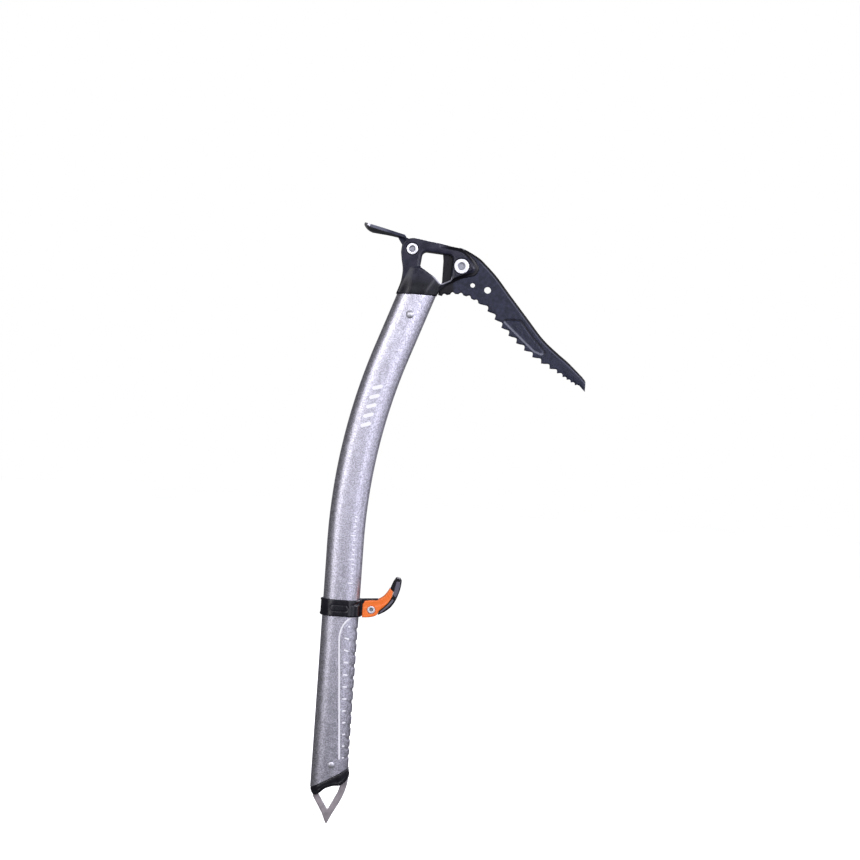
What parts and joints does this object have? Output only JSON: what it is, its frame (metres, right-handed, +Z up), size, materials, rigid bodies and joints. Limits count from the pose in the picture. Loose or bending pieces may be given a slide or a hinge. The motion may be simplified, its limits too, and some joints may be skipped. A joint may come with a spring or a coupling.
{
  "type": "ice axe",
  "caption": "Technical mountaineering ice axe: bent metal shaft, toothed pick, adze, spike with an eye, and a sliding hand rest with a sprung cam lever.",
  "frame": {"origin": "the point of the spike, which lies on the axis of the straight lower shaft", "axes": "+Z up the straight lower shaft towards the head, +X the way the pick points, +Y square to the pick's flat side"},
  "size_m": [0.2203, 0.0424, 0.5314],
  "materials": {
    "shaft_aluminium": "fine-blasted, clear anodised",
    "head_black": "glossy black coating on forged metal",
    "pick_steel": "satin slate-black coating on forged steel",
    "zinc_plate": "bright zinc plate",
    "spike_stainless": "matte stamped stainless steel",
    "spring_wire": "drawn spring wire",
    "black_plastic": "satin black",
    "orange_plastic": "satin orange",
    "grip_rubber": "matte black, fine ribs",
    "white_print": "thin white printed marks on the shaft"
  },
  "bodies": {
    "axe": {"shaft": "shaft_aluminium", "head_body": "head_black", "pick": "pick_steel", "adze": "pick_steel", "head_rivet": "zinc_plate", "pick_bolt": "zinc_plate", "pick_bolt_washer": "zinc_plate", "pick_bolt_nut": "zinc_plate", "adze_bolt": "zinc_plate", "adze_bolt_washer": "zinc_plate", "adze_bolt_nut": "zinc_plate", "spike": "spike_stainless", "spike_plug": "black_plastic", "spike_rivet": "zinc_plate"},
    "hand_rest": {"rest_collar": "black_plastic", "brake_shoe": "spike_stainless", "lever_screw": "zinc_plate", "lever_screw_nut": "zinc_plate"},
    "lever": {"rest_lever": "orange_plastic", "lever_grip": "grip_rubber", "lever_spring": "spring_wire"}
  },
  "joints": [
    {"name": "hand_rest_slide", "type": "slide", "parent": "axe", "child": "hand_rest", "axis": [0, 0, 1], "range_m": [-0.12, 0.042]},
    {"name": "lever_pivot", "type": "hinge", "parent": "hand_rest", "child": "lever", "pos_m": [0.027, 0, 0.1916], "axis": [0, -1, 0], "range_deg": [0, 35], "stiffness_Nm_per_rad": 0.05, "springref_deg": -20.05}
  ]
}
